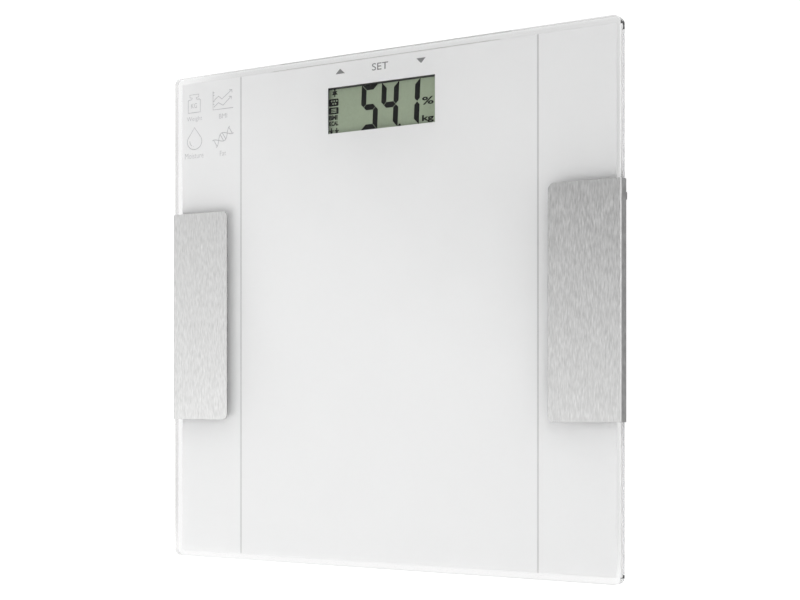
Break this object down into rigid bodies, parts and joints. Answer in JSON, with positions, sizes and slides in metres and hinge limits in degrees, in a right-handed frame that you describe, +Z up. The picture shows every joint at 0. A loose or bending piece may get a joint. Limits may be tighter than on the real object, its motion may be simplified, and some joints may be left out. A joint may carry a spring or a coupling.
{
  "type": "digital bathroom scale",
  "caption": "Square glass body-weight scale on four load-cell feet, with steel side electrodes and an LCD under the glass.",
  "frame": {"origin": "on the floor under the centre of the platform", "axes": "+Z up out of the glass, +Y towards the display end, +X to the right of someone who reads the display"},
  "size_m": [0.3018, 0.3, 0.0225],
  "materials": {
    "clear_glass": "polished tempered glass, clear",
    "white_print": "white ceramic print seen through glass",
    "brushed_electrode": "brushed along its length",
    "grey_terminal": "dark grey insulating cap",
    "white_abs": "fine moulded texture, white",
    "grey_abs": "fine moulded texture, mid grey",
    "black_plastic": "matt black",
    "lcd_glass": "grey-green reflective LCD",
    "reflector_foil": "satin",
    "contact_rubber": "matt",
    "circuit_board": "green solder mask",
    "chip_resin": "black resin",
    "nylon": "natural nylon",
    "foam": "white foam tape",
    "cell_can": "nickel-plated can",
    "nickel_spring": "nickel-plated spring steel",
    "zinc_screw": "zinc plated",
    "sensor_steel": "stamped, zinc plated",
    "gauge_resin": "white silicone",
    "sole_rubber": "grey rubber, matt",
    "lead_jacket": "grey wire jacket"
  },
  "bodies": {
    "platform": {"battery_contact_negative": "nickel_spring", "battery_contact_positive": "nickel_spring", "board_parts": "chip_resin", "board_screws": "zinc_screw", "cell_lead_front_left": "lead_jacket", "cell_lead_front_right": "lead_jacket", "cell_lead_rear_left": "lead_jacket", "cell_lead_rear_right": "lead_jacket", "coin_cell": "cell_can", "contact_strips": "contact_rubber", "control_cover": "white_abs", "control_housing": "white_abs", "cover_screws": "zinc_screw", "display_hood": "black_plastic", "electrode_lead_left": "lead_jacket", "electrode_lead_right": "lead_jacket", "electrode_left": "brushed_electrode", "electrode_right": "brushed_electrode", "foot_housing_front_left": "white_abs", "foot_housing_front_right": "white_abs", "foot_housing_rear_left": "white_abs", "foot_housing_rear_right": "white_abs", "foot_tapes": "foam", "glass_platform": "clear_glass", "housing_tape": "foam", "lcd_panel": "lcd_glass", "lcd_reflector": "reflector_foil", "lead_clips": "nylon", "lead_connectors": "nylon", "load_cell_front_left": "sensor_steel", "load_cell_front_right": "sensor_steel", "load_cell_rear_left": "sensor_steel", "load_cell_rear_right": "sensor_steel", "main_board": "circuit_board", "printed_film": "white_print", "strain_gauge_front_left": "gauge_resin", "strain_gauge_front_right": "gauge_resin", "strain_gauge_rear_left": "gauge_resin", "strain_gauge_rear_right": "gauge_resin", "switch_body": "black_plastic", "terminal_cap_left": "grey_terminal", "terminal_cap_right": "grey_terminal", "touch_pads": "contact_rubber", "wire_channel_left": "white_abs", "wire_channel_right": "white_abs"},
    "battery_door": {"battery_door": "white_abs", "cell_pad": "foam"},
    "unit_button": {"unit_button": "grey_abs", "switch_plunger": "black_plastic"},
    "foot_front_right": {"foot_cup_front_right": "grey_abs", "foot_pad_front_right": "sole_rubber"},
    "foot_front_left": {"foot_cup_front_left": "grey_abs", "foot_pad_front_left": "sole_rubber"},
    "foot_rear_right": {"foot_cup_rear_right": "grey_abs", "foot_pad_rear_right": "sole_rubber"},
    "foot_rear_left": {"foot_cup_rear_left": "grey_abs", "foot_pad_rear_left": "sole_rubber"}
  },
  "joints": [
    {"name": "battery_door_hinge", "type": "hinge", "parent": "platform", "child": "battery_door", "pos_m": [-0.065, 0.1019, 0.0046], "axis": [-1, 0, 0], "range_deg": [0, 95]},
    {"name": "unit_button_press", "type": "slide", "parent": "platform", "child": "unit_button", "axis": [0, 0, 1], "range_m": [0, 0.0006], "stiffness_N_per_m": 1500},
    {"name": "foot_front_right_travel", "type": "slide", "parent": "platform", "child": "foot_front_right", "axis": [0, 0, 1], "range_m": [0, 0.0005], "stiffness_N_per_m": 900000},
    {"name": "foot_front_left_travel", "type": "slide", "parent": "platform", "child": "foot_front_left", "axis": [0, 0, 1], "range_m": [0, 0.0005], "stiffness_N_per_m": 900000},
    {"name": "foot_rear_right_travel", "type": "slide", "parent": "platform", "child": "foot_rear_right", "axis": [0, 0, 1], "range_m": [0, 0.0005], "stiffness_N_per_m": 900000},
    {"name": "foot_rear_left_travel", "type": "slide", "parent": "platform", "child": "foot_rear_left", "axis": [0, 0, 1], "range_m": [0, 0.0005], "stiffness_N_per_m": 900000}
  ]
}
